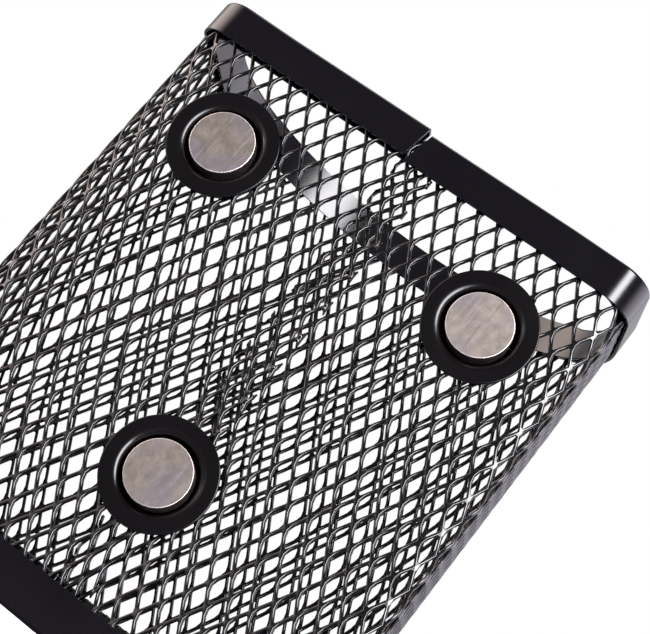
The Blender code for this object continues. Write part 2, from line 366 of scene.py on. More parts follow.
@dataclass(frozen=True)
class NickelPlate:
    """Barrel-plated nickel over a sintered magnet: warm grey, cloudy, scratched, with violet tarnish.

    The front edge, where the layer "edge" is 1, is matt and carries a painted highlight in a pale colour.
    """

    name: str = "barrel_plated_nickel"
    bright: str = "#D4C8C0"
    dull: str = "#B3A89F"
    tarnish: str = "#BBB1C4"
    # Pale colour of the painted highlight on the front edge
    paler: str = "#F0E8E2"
    roughness: Pair = (0.33, 0.4)
    edge_roughness: float = 0.6
    cloud_size: float = 1.3 * MM
    cloud_grain: float = 0.62
    cloud_span: Pair = (0.35, 0.65)
    tarnish_size: float = 4.5 * MM
    tarnish_span: Pair = (0.45, 0.7)
    tarnish_share: float = 0.7
    # Coarser than real scratches, so that they show in the render
    scratch_pitch: float = 0.25 * MM
    scratch_length: float = 6.0 * MM
    scratch_angle: float = 38.0
    scratch_depth: float = 0.002 * MM
    scratch_strength: float = 0.4

    def build(self) -> Material:
        """Make the material.

        Returns:
            The finished material.
        """
        material, tree, shader, place = fresh_material(self.name)
        cloud = add_node(
            tree, "TexNoise",
            {"Vector": place, "Scale": 1 / self.cloud_size, "Detail": 6.0, "Roughness": self.cloud_grain})
        veil = add_node(
            tree, "TexNoise", {"Vector": place, "Scale": 1 / self.tarnish_size, "Detail": 3.0})
        drawn = add_node(
            tree, "Mapping",
            {"Vector": place, "Rotation": (0.0, math.radians(self.scratch_angle), 0.0),
             "Scale": (1 / self.scratch_pitch, 1 / self.scratch_length, 1 / self.scratch_length)})
        scratch = add_node(tree, "TexNoise", {"Vector": drawn, "Scale": 1.0, "Detail": 3.0})
        patch = add_node(tree, "MapRange", {"Value": cloud, **ranges(self.cloud_span)})
        tone = add_node(
            tree, "Mix", {"Factor": patch, "A": linear(self.dull), "B": linear(self.bright)},
            data_type="RGBA")
        stain = add_node(
            tree, "MapRange", {"Value": veil, **ranges(self.tarnish_span, (0.0, self.tarnish_share))})
        tarnished = add_node(
            tree, "Mix", {"Factor": stain, "A": tone, "B": linear(self.tarnish)}, data_type="RGBA")
        satin = add_node(tree, "MapRange", {"Value": scratch, **ranges(NOISE_SPAN, self.roughness)})
        relief = add_node(
            tree, "Bump",
            {"Height": scratch, "Distance": self.scratch_depth, "Strength": self.scratch_strength})
        edge = add_node(tree, "Attribute", {}, attribute_name="edge").outputs["Fac"]
        # Painted highlight: the front edge takes the pale colour
        painted_edge_highlight = add_node(
            tree, "Mix", {"Factor": edge, "A": tarnished, "B": linear(self.paler)}, data_type="RGBA")
        grain = add_node(tree, "Mix", {"Factor": edge, "A": satin, "B": self.edge_roughness})
        fill(tree, shader, {"Base Color": painted_edge_highlight, "Roughness": grain, "Normal": relief, "Metallic": 1.0})
        return material


@dataclass(frozen=True)
class CuredGlue:
    """Clear glue, cured: a pale amber film with small bubbles."""

    name: str = "cured_clear_glue"
    colour: str = "#E2D6B4"
    bubble: str = "#F4EEDC"
    bubble_size: float = 0.8 * MM
    roughness: float = 0.25
    clearness: float = 0.5

    def build(self) -> Material:
        """Make the material.

        Returns:
            The finished material.
        """
        material, tree, shader, place = fresh_material(self.name)
        bubbles = add_node(tree, "TexVoronoi", {"Vector": place, "Scale": 1 / self.bubble_size})
        tone = add_node(
            tree, "Mix", {"Factor": bubbles, "A": linear(self.bubble), "B": linear(self.colour)},
            data_type="RGBA")
        fill(tree, shader, {
            "Base Color": tone, "Roughness": self.roughness, "Transmission Weight": self.clearness})
        return material


@dataclass(frozen=True)
class PaleCard:
    """Matt white studio card under the box, with the faint tooth of paper; darker in reflections.

    The glow keeps it white to the camera and lights nothing else.
    """

    name: str = "matt_white_card"
    colour: str = "#F7F6F5"
    shade: str = "#F1F0EF"
    mirrored: str = "#77757B"
    tooth_size: float = 0.6 * MM
    roughness: float = 0.9
    glow: float = 0.7

    def build(self) -> Material:
        """Make the material.

        Returns:
            The finished material.
        """
        material, tree, shader, place = fresh_material(self.name)
        tooth = add_node(tree, "TexNoise", {"Vector": place, "Scale": 1 / self.tooth_size, "Detail": 3.0})
        tone = add_node(
            tree, "Mix", {"Factor": tooth, "A": linear(self.shade), "B": linear(self.colour)},
            data_type="RGBA")
        ray = add_node(tree, "LightPath", {}).outputs["Is Camera Ray"]
        shown = add_node(
            tree, "Mix", {"Factor": ray, "A": linear(self.mirrored), "B": tone}, data_type="RGBA")
        glow = add_node(tree, "Math", {0: ray, 1: self.glow}, operation="MULTIPLY")
        fill(tree, shader, {
            "Base Color": shown, "Roughness": self.roughness,
            "Emission Color": tone, "Emission Strength": glow})
        return material


@dataclass(frozen=True)
class Finishes:
    """Every material of the box, made once."""

    rim_coat: Material
    dish_coat: Material
    mesh_coat: Material
    nickel: Material
    glue: Material

    @classmethod
    def mixed(cls) -> "Finishes":
        """Make the materials.

        Returns:
            The set of finishes.
        """
        rim = PowderCoat("satin_black_powder_coat", "#040208", "#06040A", (0.11, 0.2), 0.5)
        dish = PowderCoat(
            "deep_black_powder_coat", "#040204", "#060406", (0.14, 0.23), 0.42, dust_share=0.2)
        mesh = PowderCoat(
            "gloss_black_powder_coat", "#020103", "#040305", (0.11, 0.2), 0.75,
            peel_size=0.5 * MM, peel_height=0.006 * MM, dust_share=0.08, two_faced=True)
        return cls(rim.build(), dish.build(), mesh.build(), NickelPlate().build(), CuredGlue().build())


def add_piece(bm: BMesh, name: str, material: Material, nodes: Sequence[str]) -> Object:
    """Turn a bmesh into a smooth piece of the box that stands for CAD nodes.

    Args:
        bm: Shape in the row frame; it is freed.
        name: Name of the piece.
        material: Its finish.
        nodes: CAD nodes that it replaces.

    Returns:
        The object.
    """
    mesh = bpy.data.meshes.new(name)
    for face in bm.faces:
        face.smooth = True
    bm.to_mesh(mesh)
    bm.free()
    mesh.materials.append(material)
    piece = bpy.data.objects.new(name, mesh)
    bpy.context.scene.collection.objects.link(piece)
    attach(piece, BODY)
    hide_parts(*nodes)
    log.info("%s: %d faces before modifiers", name, len(mesh.polygons))
    return piece


def keep_flats(piece: Object) -> None:
    """Shade flat faces flat, so that only bends and rounded edges catch the lights.

    Args:
        piece: Finished object.
    """
    weighted = piece.modifiers.new("flat faces", "WEIGHTED_NORMAL")
    weighted.mode = "FACE_AREA"
    weighted.keep_sharp = False


def arc(centre: Pair, radii: Pair, start: float, end: float, steps: int) -> list[Pair]:
    """Points of a round or elliptic arc in a turned profile.

    Args:
        centre: Centre as (radius, place along the axis).
        radii: Half axes of the arc, across the axis and along it.
        start: First angle in degrees.
        end: Last angle in degrees.
        steps: Number of chords.

    Returns:
        Points from the first angle to the last.
    """
    points = []
    for step in range(steps + 1):
        angle = math.radians(start + (end - start) * step / steps)
        points.append((centre[0] + radii[0] * math.cos(angle), centre[1] + radii[1] * math.sin(angle)))
    return points


def turned(profile: Sequence[Pair], centre: Vector, closed: bool, steps: int = 96) -> BMesh:
    """Turn a profile about a level axis that points out of the back.

    Args:
        profile: Points as (radius, place along the axis).
        centre: Point on the axis from which the places are measured.
        closed: True where the profile is a loop that stays off the axis.
        steps: Facets round the axis.

    Returns:
        A closed shape in the row frame.
    """
    bm = bmesh.new()
    verts = [bm.verts.new(centre + Vector((radius, along, 0.0))) for radius, along in profile]
    edges = [bm.edges.new(pair) for pair in zip(verts, verts[1:])]
    if closed:
        edges.append(bm.edges.new((verts[-1], verts[0])))
    bmesh.ops.spin(
        bm, geom=[*verts, *edges], cent=centre, axis=(0.0, 1.0, 0.0),
        angle=2 * math.pi, steps=steps, use_merge=True)
    bmesh.ops.remove_doubles(bm, verts=bm.verts, dist=MERGE_DISTANCE)
    bmesh.ops.recalc_face_normals(bm, faces=bm.faces)
    return bm


def swept(
    stations: Sequence[Station], levels: Sequence[Pair], closed: bool
) -> tuple[BMesh, list[list[BMEdge]]]:
    """Extrude a sheet that follows the plan from one level to the next.

    Args:
        stations: Places along the plan.
        levels: (inset, height) of each line of the section.
        closed: True for a ring without a split.

    Returns:
        The open sheet and, for each level after the first, its line of edges.
    """
    bm = bmesh.new()
    number = bm.verts.layers.int.new("station")
    inset, height = levels[0]
    verts = []
    for index, station in enumerate(stations):
        vert = bm.verts.new(station.at(inset, height))
        vert[number] = index
        verts.append(vert)
    line = [bm.edges.new(pair) for pair in zip(verts, verts[1:])]
    if closed:
        line.append(bm.edges.new((verts[-1], verts[0])))
    lines = []
    for inset, height in levels[1:]:
        grown = bmesh.ops.extrude_edge_only(bm, edges=line)["geom"]
        fresh = {item for item in grown if isinstance(item, BMVert)}
        for vert in fresh:
            vert.co = stations[vert[number]].at(inset, height)
        edges = [item for item in grown if isinstance(item, BMEdge)]
        line = [edge for edge in edges if edge.verts[0] in fresh and edge.verts[1] in fresh]
        lines.append(line)
    return bm, lines


def round_folds(bm: BMesh, lines: Sequence[Sequence[BMEdge]], radius: float) -> None:
    """Round the bends of a folded sheet.

    Args:
        bm: Swept sheet.
        lines: Lines of edges to bend.
        radius: Width of the bend on each side.
    """
    edges = [edge for line in lines for edge in line]
    bmesh.ops.bevel(
        bm, geom=edges, affect="EDGES", offset=radius, offset_type="OFFSET",
        segments=FOLD_STEPS, profile=0.5, material=-1)


@dataclass(frozen=True)
class Drift:
    """How the diamonds stray from square to the sheet. Pairs hold for its first and its last end.

    Attributes:
        stretch: Growth along the sheet, per length.
        rise: Climb up the sheet, per length.
        lean: Slant along the sheet, per height above the middle.
        tall: Growth up the sheet, per height above the middle.
        front_lean: Extra lean halfway along the sheet, at the front of the box.
        spread: How far each end is pulled outwards at mid height.
        spread_lean: Extra spread, per height above the middle.
        spread_reach: Length over which the spread fades out.
    """

    stretch: Pair = (0.0, 0.0)
    rise: Pair = (0.0, 0.0)
    lean: Pair = (0.0, 0.0)
    tall: Pair = (0.0, 0.0)
    front_lean: float = 0.0
    spread: float = 0.0
    spread_lean: float = 0.0
    spread_reach: float = 12.0 * MM

    def moved(self, place: Vector, length: float, height: float) -> Vector:
        """Carry a point of the square net along with the drift.

        Args:
            place: Point of the square net.
            length: Length of the sheet.
            height: Height of the sheet.

        Returns:
            The point of the drifted net.
        """
        share = place.x / length
        growth = between(self.stretch, share / 2) * place.x
        climb = between(self.rise, share / 2) * place.x
        lean = between(self.lean, share)
        tall = between(self.tall, share)
        above = place.y - height / 2
        spread = self.spread + self.spread_lean * above
        for sign, away in ((-1, place.x), (1, length - place.x)):
            growth += sign * spread * max(1 - away / self.spread_reach, 0.0) ** 2
        growth += self.front_lean * above * math.sin(math.pi * share) ** 4
        return place + Vector((growth + lean * above, climb + tall * above, 0.0))


@dataclass(frozen=True)
class ExpandedMesh:
    """Slit and stretched steel sheet: diamonds with one rounded corner between turned strands.

    Attributes:
        turn: How far the two edges of a strand are turned out of the sheet, each its own way.
        overhang: How far the front of a strand leans over along the sheet.
        round_reach: Length of the rounding on each side of an opening's stretched corner.
        blunt_reach: Length cut off on each side of its pointed corners.
        outer_round: Rounding of the strands' edges on the front.
        inner_round: Rounding of the strands' edges on the back.
        spare_rows: Diamonds beyond the sheet's size, to be cut off.
    """

    short_pitch: float = 3.497 * MM
    long_pitch: float = 5.99 * MM
    strand: float = 0.45 * MM
    sheet: float = 0.54 * MM
    turn: float = 0.13 * MM
    overhang: float = 0.16 * MM
    round_reach: float = 1.1 * MM
    blunt_reach: float = 0.34 * MM
    outer_round: float = 0.19 * MM
    inner_round: float = 0.1 * MM
    outer_steps: int = 2
    inner_steps: int = 1
    spare_rows: int = 4

    def web(self, length: float, height: float, shift: Pair, drift: Drift) -> BMesh:
        """Make the flat web of strands, cut to a rectangle from a corner at the origin.

        Args:
            length: Size along X, across the short pitch.
            height: Size along Y, along the long pitch.
            shift: Place of the pattern along X and Y.
            drift: Slant of the pattern.

        Returns:
            Flat faces of the strands; the layer "lean" tells how far a point is turned out.
        """
        columns = math.ceil(length / self.short_pitch) + self.spare_rows
        rows = math.ceil(height / self.long_pitch) + self.spare_rows
        bm = bmesh.new()
        bmesh.ops.create_grid(bm, x_segments=columns, y_segments=rows, size=0.5)
        size = (columns * self.short_pitch, rows * self.long_pitch, 1.0)
        bmesh.ops.scale(bm, vec=size, verts=bm.verts)
        middle = (length / 2 + shift[0], height / 2 + shift[1], 0.0)
        bmesh.ops.translate(bm, vec=middle, verts=bm.verts)
        grid_edges = [edge for edge in bm.edges if len(edge.link_faces) == 2]
        bmesh.ops.poke(bm, faces=bm.faces)
        bmesh.ops.dissolve_edges(bm, edges=grid_edges, use_verts=False)
        openings = list(bm.faces)
        bmesh.ops.inset_individual(bm, faces=openings, thickness=self.strand / 2, use_even_offset=True)
        self.open_diamonds(bm, openings)
        for vert in bm.verts:
            vert.co = drift.moved(vert.co, length, height)
        for edge_point, outward in (
            ((0.0, 0.0, 0.0), (-1.0, 0.0, 0.0)), ((length, 0.0, 0.0), (1.0, 0.0, 0.0)),
            ((0.0, 0.0, 0.0), (0.0, -1.0, 0.0)), ((0.0, height, 0.0), (0.0, 1.0, 0.0)),
        ):
            bmesh.ops.bisect_plane(
                bm, geom=[*bm.verts, *bm.edges, *bm.faces], dist=MERGE_DISTANCE,
                plane_co=edge_point, plane_no=outward, clear_outer=True)
        return bm

    def open_diamonds(self, bm: BMesh, openings: Sequence[BMFace]) -> None:
        """Clear the openings and round the stretched corner of each.

        Args:
            bm: Flat net with its openings still filled.
            openings: Faces of the openings.
        """
        lean = bm.verts.layers.float.new("lean")
        sides = set()
        for face in [face for face in openings if len(face.verts) == 4]:
            across = sorted(face.verts, key=lambda vert: vert.co.x)
            near, far = across[0], across[-1]
            near[lean] = 1.0
            far[lean] = -1.0
            sides.update(edge for edge in face.edges if near in edge.verts)
        bmesh.ops.delete(bm, geom=list(openings), context="FACES")
        bmesh.ops.subdivide_edges(bm, edges=list(sides), cuts=2)
        for corner in [vert for vert in bm.verts if vert[lean] == 1.0]:
            self.shape_opening(corner)

    def shape_opening(self, corner: BMVert) -> None:
        """Round the stretched corner of an opening and blunt the two pointed ones beside it.

        Args:
            corner: The stretched corner; two cuts on each side part it from a pointed corner.
        """
        tip = corner.co.copy()
        paths = []
        for edge in corner.link_edges:
            if not edge.is_boundary:
                continue
            path = [corner, edge.other_vert(corner)]
            while len(path) < 5:
                here = path[-1]
                ways = [side.other_vert(here) for side in here.link_edges if side.is_boundary]
                path.append(next(vert for vert in ways if vert is not path[-2]))
            paths.append(path)
        arms = [(path[3].co - tip).normalized() for path in paths]
        inward = (arms[0] + arms[1]).normalized()
        half = inward.angle(arms[0])
        radius = self.round_reach * math.tan(half)
        for (_, near_cut, far_cut, end, beyond), arm in zip(paths, arms):
            pointed = end.co.copy()
            near_cut.co = tip + arm * self.round_reach
            far_cut.co = pointed - arm * self.blunt_reach
            end.co = pointed + (beyond.co - pointed).normalized() * self.blunt_reach
        corner.co = tip + inward * radius * (1 / math.sin(half) - 1)

    def thicken(self, bm: BMesh) -> None:
        """Give a flat web its turned strands, its gauge and its coated edges.

        Args:
            bm: Flat web; its middle stays at height zero.
        """
        lean = bm.verts.layers.float["lean"]
        for vert in bm.verts:
            vert.co.z += vert[lean] * self.turn - self.sheet / 2 + self.inner_round
        back = list(bm.faces)
        grown = bmesh.ops.extrude_face_region(bm, geom=back)["geom"]
        front = [item for item in grown if isinstance(item, BMFace)]
        raised = [item for item in grown if isinstance(item, BMVert)]
        straight = self.sheet - self.outer_round - self.inner_round
        bmesh.ops.translate(bm, vec=(-self.overhang, 0.0, straight), verts=raised)
        bmesh.ops.recalc_face_normals(bm, faces=bm.faces)
        for side, radius, steps in (
            (front, self.outer_round, self.outer_steps), (back, self.inner_round, self.inner_steps),
        ):
            for step in range(steps):
                low = math.pi / 2 * step / steps
                high = math.pi / 2 * (step + 1) / steps
                bmesh.ops.inset_region(
                    bm, faces=side, use_even_offset=False,
                    thickness=radius * (math.cos(low) - math.cos(high)),
                    depth=radius * (math.sin(high) - math.sin(low)))
        inside = bm.verts.layers.float.new("inside")
        for vert in {vert for face in back for vert in face.verts}:
            vert[inside] = 1.0
        bmesh.ops.recalc_face_normals(bm, faces=bm.faces)


@dataclass
class MeshWall:
    """One mesh sheet wrapped round the box and lapped at the middle of the back."""

    plan: Plan
    weave: ExpandedMesh
    shift: Pair = (1.96 * MM, -0.22 * MM)
    drift: Drift = Drift(
        stretch=(-0.015, 0.029), rise=(0.05, 0.03), lean=(0.008, -0.019), tall=(0.0, 0.013),
        front_lean=0.06, spread=-0.37 * MM, spread_lean=0.049)
    hole_radius: float = 7.0 * MM

    def build(self, finishes: Finishes, seats: Sequence["MagnetStation"]) -> Object:
        """Cut the web, pierce it for the dishes, give it its gauge and wrap it.

        Args:
            finishes: Materials of the box.
            seats: Magnet stations that pass through the wall.

        Returns:
            The wall.
        """
        low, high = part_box("mesh_wall")
        way = WallRun(self.plan, self.plan.back - high.y + self.weave.sheet / 2)
        bm = self.weave.web(way.length, high.z - low.z, self.shift, self.drift)
        pierced = []
        for face in bm.faces:
            middle = face.calc_center_median()
            place = way.point(middle.x, low.z + middle.y, 0.0)
            if any(seat.covers(place, self.hole_radius) for seat in seats):
                pierced.append(face)
        bmesh.ops.delete(bm, geom=pierced, context="FACES")
        self.weave.thicken(bm)
        for vert in bm.verts:
            vert.co = way.point(vert.co.x, low.z + vert.co.y, vert.co.z)
        piece = add_piece(bm, "expanded_mesh_wall", finishes.mesh_coat, ["mesh_wall"])
        keep_flats(piece)
        return piece


@dataclass
class MeshFloor:
    """Mesh floor in a folded border whose skirt stands in the base rim."""

    plan: Plan
    weave: ExpandedMesh
    gauge: float = 0.45 * MM
    border: float = 2.0 * MM
    fold_radius: float = 0.3 * MM

    def build(self, finishes: Finishes) -> Object:
        """Fold the border and lay the net into it.

        Args:
            finishes: Materials of the box.

        Returns:
            The floor.
        """
        low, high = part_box("mesh_floor")
        skirt = self.plan.half_width - high.x
        section = [
            (skirt, low.z), (skirt, high.z), (skirt + self.border, high.z),
            (skirt + self.border, high.z - self.gauge), (skirt + self.gauge, high.z - self.gauge),
            (skirt + self.gauge, low.z), (skirt, low.z),
        ]
        bm, lines = swept(self.plan.line(), section, closed=True)
        round_folds(bm, [lines[0], lines[3]], self.fold_radius)
        bmesh.ops.remove_doubles(bm, verts=bm.verts, dist=MERGE_DISTANCE)
        net = self.weave.web(high.x - low.x, high.y - low.y, (0.0, 0.0), Drift())
        corner = Vector((low.x, low.y, 0.0))
        reach = skirt + self.border / 2
        outside = [
            face for face in net.faces
            if not self.plan.holds(corner + face.calc_center_median(), reach)]
        bmesh.ops.delete(net, geom=outside, context="FACES")
        self.weave.thicken(net)
        corner.z = high.z - self.gauge / 2
        bmesh.ops.translate(net, vec=corner, verts=net.verts)
        laid = bpy.data.meshes.new("floor_net")
        net.to_mesh(laid)
        net.free()
        bm.from_mesh(laid)
        bpy.data.meshes.remove(laid)
        bmesh.ops.recalc_face_normals(bm, faces=bm.faces)
        piece = add_piece(bm, "expanded_mesh_floor", finishes.mesh_coat, ["mesh_floor"])
        keep_flats(piece)
        return piece


@dataclass
class FoldedRim:
    """Channel folded from sheet steel that follows the plan."""

    plan: Plan
    channel: float
    sheet: float = 0.45 * MM
    fold_radius: float = 0.35 * MM
    edge_round: float = 0.13 * MM
    edge_steps: int = 2
    edge_angle: float = 40.0

    def section(self, web: float, mouth: float) -> list[Pair]:
        """Middle of the sheet across the channel, from the outer flange to the inner one.

        Args:
            web: Height of the web.
            mouth: Height of the flanges' free edges.

        Returns:
            (inset, height) of each bend and free edge.
        """
        near = self.sheet / 2
        far = self.channel - self.sheet / 2
        return [(near, mouth), (near, web), (far, web), (far, mouth)]

    def dress(self, piece: Object) -> None:
        """Give the channel its gauge and coated edges.

        Args:
            piece: The open channel.
        """
        solidify = piece.modifiers.new("sheet", "SOLIDIFY")
        solidify.thickness = self.sheet
        solidify.offset = 0.0
        solidify.use_even_offset = True
        bevel = piece.modifiers.new("coated edge", "BEVEL")
        bevel.width = self.edge_round
        bevel.segments = self.edge_steps
        bevel.limit_method = "ANGLE"
        bevel.angle_limit = math.radians(self.edge_angle)
        keep_flats(piece)


@dataclass
class TopRim(FoldedRim):
    """Rim over the top edge, with an open slanted seam at the middle of the back.

    The lifts raise the free edges of the flanges: the outer one from the back to the front, and the
    inner one along the back, from the -X side to the +X one.
    """

    channel: float = 2.45 * MM
    outer_lift: Pair = (0.3 * MM, 1.2 * MM)
    inner_lift: Pair = (1.1 * MM, 0.3 * MM)
    seam_gap: float = 0.9 * MM
    seam_slant: Pair = (11.0, 8.0)
    seam_step: float = 0.4 * MM
    seam_reach: float = 26.0 * MM

    def build(self, finishes: Finishes) -> Object:
        """Fold the channel round the box and set its ends.

        Args:
            finishes: Materials of the box.

        Returns:
            The rim.
        """
        low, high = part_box("top_rim")
        ends = [self.plan.on_back(side * self.seam_gap / 2) for side in (-1, 1)]
        spread = [self.plan.on_back(side * self.seam_reach) for side in (-1, 1)]
        stations = [ends[0], spread[0], *self.plan.line(), spread[1], ends[1]]
        section = self.section(high.z - self.sheet / 2, low.z)
        bm, lines = swept(stations, section, closed=False)
        number = bm.verts.layers.int["station"]
        inner = {vert for edge in lines[-1] for vert in edge.verts}
        for vert in [vert for vert in bm.verts if vert.co.z < low.z + MERGE_DISTANCE]:
            facing = stations[vert[number]].outward.y
            share = vert[number] / (len(stations) - 1)
            if vert in inner:
                vert.co.z += between(self.inner_lift, share) * max(facing, 0.0)
            else:
                vert.co.z += between(self.outer_lift, max(-facing, 0.0))
        round_folds(bm, lines[:-1], self.fold_radius)
        self.set_ends(bm, high.z)
        piece = add_piece(bm, "folded_top_rim", finishes.rim_coat, ["top_rim"])
        self.dress(piece)
        return piece

    def set_ends(self, bm: BMesh, top: float) -> None:
        """Slant the two ends of the channel and let one stand higher than the other.

        Args:
            bm: The swept channel.
            top: Height of the rim's top.
        """
        for vert in bm.verts:
            if vert.co.y < self.plan.back - 2 * self.plan.corner_radius or abs(vert.co.x) > self.seam_gap:
                continue
            slant = self.seam_slant[vert.co.x > 0]
            step = math.copysign(self.seam_step, vert.co.x)
            vert.co.x += (top - vert.co.z) * math.tan(math.radians(slant))
            vert.co.z += step


@dataclass
class BaseRim(FoldedRim):
    """Rim under the bottom edge, which the box stands on."""

    channel: float = 3.15 * MM

    def build(self, finishes: Finishes) -> Object:
        """Fold the channel round the box.

        Args:
            finishes: Materials of the box.

        Returns:
            The rim.
        """
        low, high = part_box("base_rim")
        section = self.section(low.z + self.sheet / 2, high.z)
        bm, lines = swept(self.plan.line(), section, closed=True)
        round_folds(bm, lines[:-1], self.fold_radius)
        piece = add_piece(bm, "folded_base_rim", finishes.rim_coat, ["base_rim"])
        self.dress(piece)
        return piece


@dataclass
class MagnetStation:
    """Pressed dish in the back with its magnet, glue and clamp ring."""

    seat: Seat
    sheet: float = 0.5 * MM
    cup_gap: float = 0.7 * MM
    ring_bore: float = 12.7 * MM
    lip_radii: Pair = (1.3 * MM, 0.7 * MM)
    foot_radius: float = 0.8 * MM
    magnet_edge: float = 0.14 * MM
    edge_round: float = 0.2 * MM
    lip_steps: int = 14
    bend_steps: int = 6
    edge_steps: int = 4
    ring_steps: int = 3
    glue_facets: int = 64

    def box(self, kind: str) -> tuple[Vector, Vector]:
        """Lowest and highest corner of the station's CAD node of one kind."""
        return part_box(f"{kind}_{self.seat.value}")

    @cached_property
    def centre(self) -> Vector:
        """Point on the axis, at the front of the flange."""
        low, high = self.box("magnet_dish")
        return Vector(((low.x + high.x) / 2, high.y, (low.z + high.z) / 2))

    def covers(self, place: Vector, radius: float) -> bool:
        """Tell whether a point of the wall lies inside a hole of this radius for the dish."""
        away = place - self.centre
        return abs(away.y) < radius and math.hypot(away.x, away.z) < radius

    def build(self, finishes: Finishes) -> list[Object]:
        """Make the four pieces of the station.

        Args:
            finishes: Materials of the box.

        Returns:
            Dish, magnet, glue and clamp ring.
        """
        pieces = []
        for process, kind, bm, material, slot in (
            ("pressed", "magnet_dish", self.turn_dish(), finishes.dish_coat, Slot.COAT),
            ("plated", "disc_magnet", self.turn_magnet(), finishes.nickel, Slot.NICKEL),
            ("cured", "magnet_glue", self.turn_glue(), finishes.glue, Slot.GLUE),
            ("pressed", "clamp_ring", self.turn_ring(), finishes.dish_coat, Slot.COAT),
        ):
            name = f"{kind}_{self.seat.value}"
            piece = add_piece(bm, f"{process}_{name}", material, [name])
            if slot is not Slot.GLUE:
                keep_flats(piece)
            pieces.append(piece)
        return pieces

    def turn_dish(self) -> BMesh:
        """Turn the dish: flat flange, rounded lip, cup.

        Returns:
            Its shape.
        """
        low, high = self.box("magnet_dish")
        magnet_low, magnet_high = self.box("disc_magnet")
        rim = (high.x - low.x) / 2
        bottom = low.y - high.y
        cup = (magnet_high.x - magnet_low.x) / 2 + self.cup_gap
        lip = (cup + self.lip_radii[0], -self.lip_radii[1])
        under_lip = (self.lip_radii[0] - self.sheet, self.lip_radii[1] - self.sheet)
        foot = (cup - self.foot_radius, bottom + self.sheet + self.foot_radius)
        under_foot = self.foot_radius + self.sheet
        soft = (self.edge_round, self.edge_round)
        profile = [
            (0.0, bottom + self.sheet),
            *arc(foot, (self.foot_radius, self.foot_radius), -90.0, 0.0, self.bend_steps),
            *arc(lip, self.lip_radii, 180.0, 90.0, self.lip_steps),
            *arc((rim - soft[0], -soft[1]), soft, 90.0, 0.0, self.edge_steps),
            *arc((rim - soft[0], soft[1] - self.sheet), soft, 0.0, -90.0, self.edge_steps),
            *arc(lip, under_lip, 90.0, 180.0, self.lip_steps),
            *arc(foot, (under_foot, under_foot), 0.0, -90.0, self.bend_steps),
            (0.0, bottom),
        ]
        return turned(profile, self.centre, closed=False)

    def turn_magnet(self) -> BMesh:
        """Turn the magnet with its rounded edges and mark the front one, where a highlight is painted.

        Returns:
            Its shape; the layer "edge" is 1 on the front edge, where the highlight is painted.
        """
        low, high = self.box("disc_magnet")
        front = high.y - self.centre.y
        back = low.y - self.centre.y
        radius = (high.x - low.x) / 2
        soft = (self.magnet_edge, self.magnet_edge)
        profile = [
            (0.0, back),
            *arc((radius - soft[0], back + soft[1]), soft, -90.0, 0.0, self.edge_steps),
            *arc((radius - soft[0], front - soft[1]), soft, 0.0, 90.0, self.bend_steps),
            (0.0, front),
        ]
        bm = turned(profile, self.centre, closed=False)
        edge = bm.verts.layers.float.new("edge")
        for vert in bm.verts:
            away = vert.co - self.centre
            outside = math.hypot(away.x, away.z) > radius - soft[0] + MERGE_DISTANCE
            vert[edge] = float(outside and away.y > front - soft[1] / 2)
        return bm

    def turn_glue(self) -> BMesh:
        """Turn the glue with its bulging edge.

        Returns:
            Its shape.
        """
        low, high = self.box("magnet_glue")
        front = high.y - self.centre.y
        bulge = (high.y - low.y) / 2
        radius = (high.x - low.x) / 2
        profile = [
            (0.0, front - 2 * bulge),
            *arc((radius - bulge, front - bulge), (bulge, bulge), -90.0, 90.0, self.bend_steps),
            (0.0, front),
        ]
        return turned(profile, self.centre, closed=False, steps=self.glue_facets)

    def turn_ring(self) -> BMesh:
        """Turn the clamp ring that holds the dish from inside.

        Returns:
            Its shape.
        """
        low, high = self.box("clamp_ring")
        soft = self.edge_round
        front = high.y - self.centre.y - soft
        back = low.y - self.centre.y + soft
        outer = (high.x - low.x) / 2 - soft
        inner = self.ring_bore / 2 + soft
        profile = []
        for corner, start in (
            ((outer, front), 90.0), ((outer, back), 0.0), ((inner, back), -90.0), ((inner, front), 180.0),
        ):
            profile += arc(corner, (soft, soft), start, start - 90.0, self.ring_steps)
        return turned(profile, self.centre, closed=True)


@dataclass(frozen=True)
class SoftLight:
    """One soft box of the studio."""

    name: str
    place: tuple[float, float, float]
    size: Pair
    power: float
    tint: str

    def hang(self, target: Vector) -> Object:
        """Hang the light and aim it.

        Args:
            target: Point that it faces.

        Returns:
            The light.
        """
        lamp = bpy.data.lights.new(self.name, "AREA")
        lamp.shape = "RECTANGLE"
        lamp.size, lamp.size_y = self.size
        lamp.energy = self.power
        lamp.color = linear(self.tint)[:3]
        light = bpy.data.objects.new(self.name, lamp)
        light.location = self.place
        light.rotation_euler = (target - light.location).to_track_quat("-Z", "Y").to_euler()
        bpy.context.scene.collection.objects.link(light)
        return light


@dataclass(frozen=True)
class Panel:
    """One bright panel of the surround, soft towards its edge; angles in degrees seen from the box."""

    bearing: float
    elevation: float
    core: Pair
    edge: Pair
    strength: float
    tint: str

    def add(self, tree: NodeTree, bearing: Node, elevation: Node) -> Node:
        """Add the panel to the surround's nodes.

        Args:
            tree: Node tree of the world.
            bearing: Node with the bearing looked at, from +Y towards +X, in radians.
            elevation: Node with the elevation looked at, in radians.

        Returns:
            Node with the panel's light.
        """
        light = self.strength
        for angle, middle, core, edge in (
            (bearing, self.bearing, self.core[0], self.edge[0]),
            (elevation, self.elevation, self.core[1], self.edge[1]),
        ):
            off = add_node(tree, "Math", {0: angle, 1: math.radians(middle)}, operation="SUBTRACT")
            away = add_node(tree, "Math", {0: off}, operation="ABSOLUTE")
            soft = (math.radians(edge), math.radians(core))
            fade = add_node(
                tree, "MapRange", {"Value": away, **ranges(soft)}, interpolation_type="SMOOTHSTEP")
            light = add_node(tree, "Math", {0: light, 1: fade}, operation="MULTIPLY")
        return add_node(tree, "VectorMath", {0: linear(self.tint)[:3], "Scale": light}, operation="SCALE")


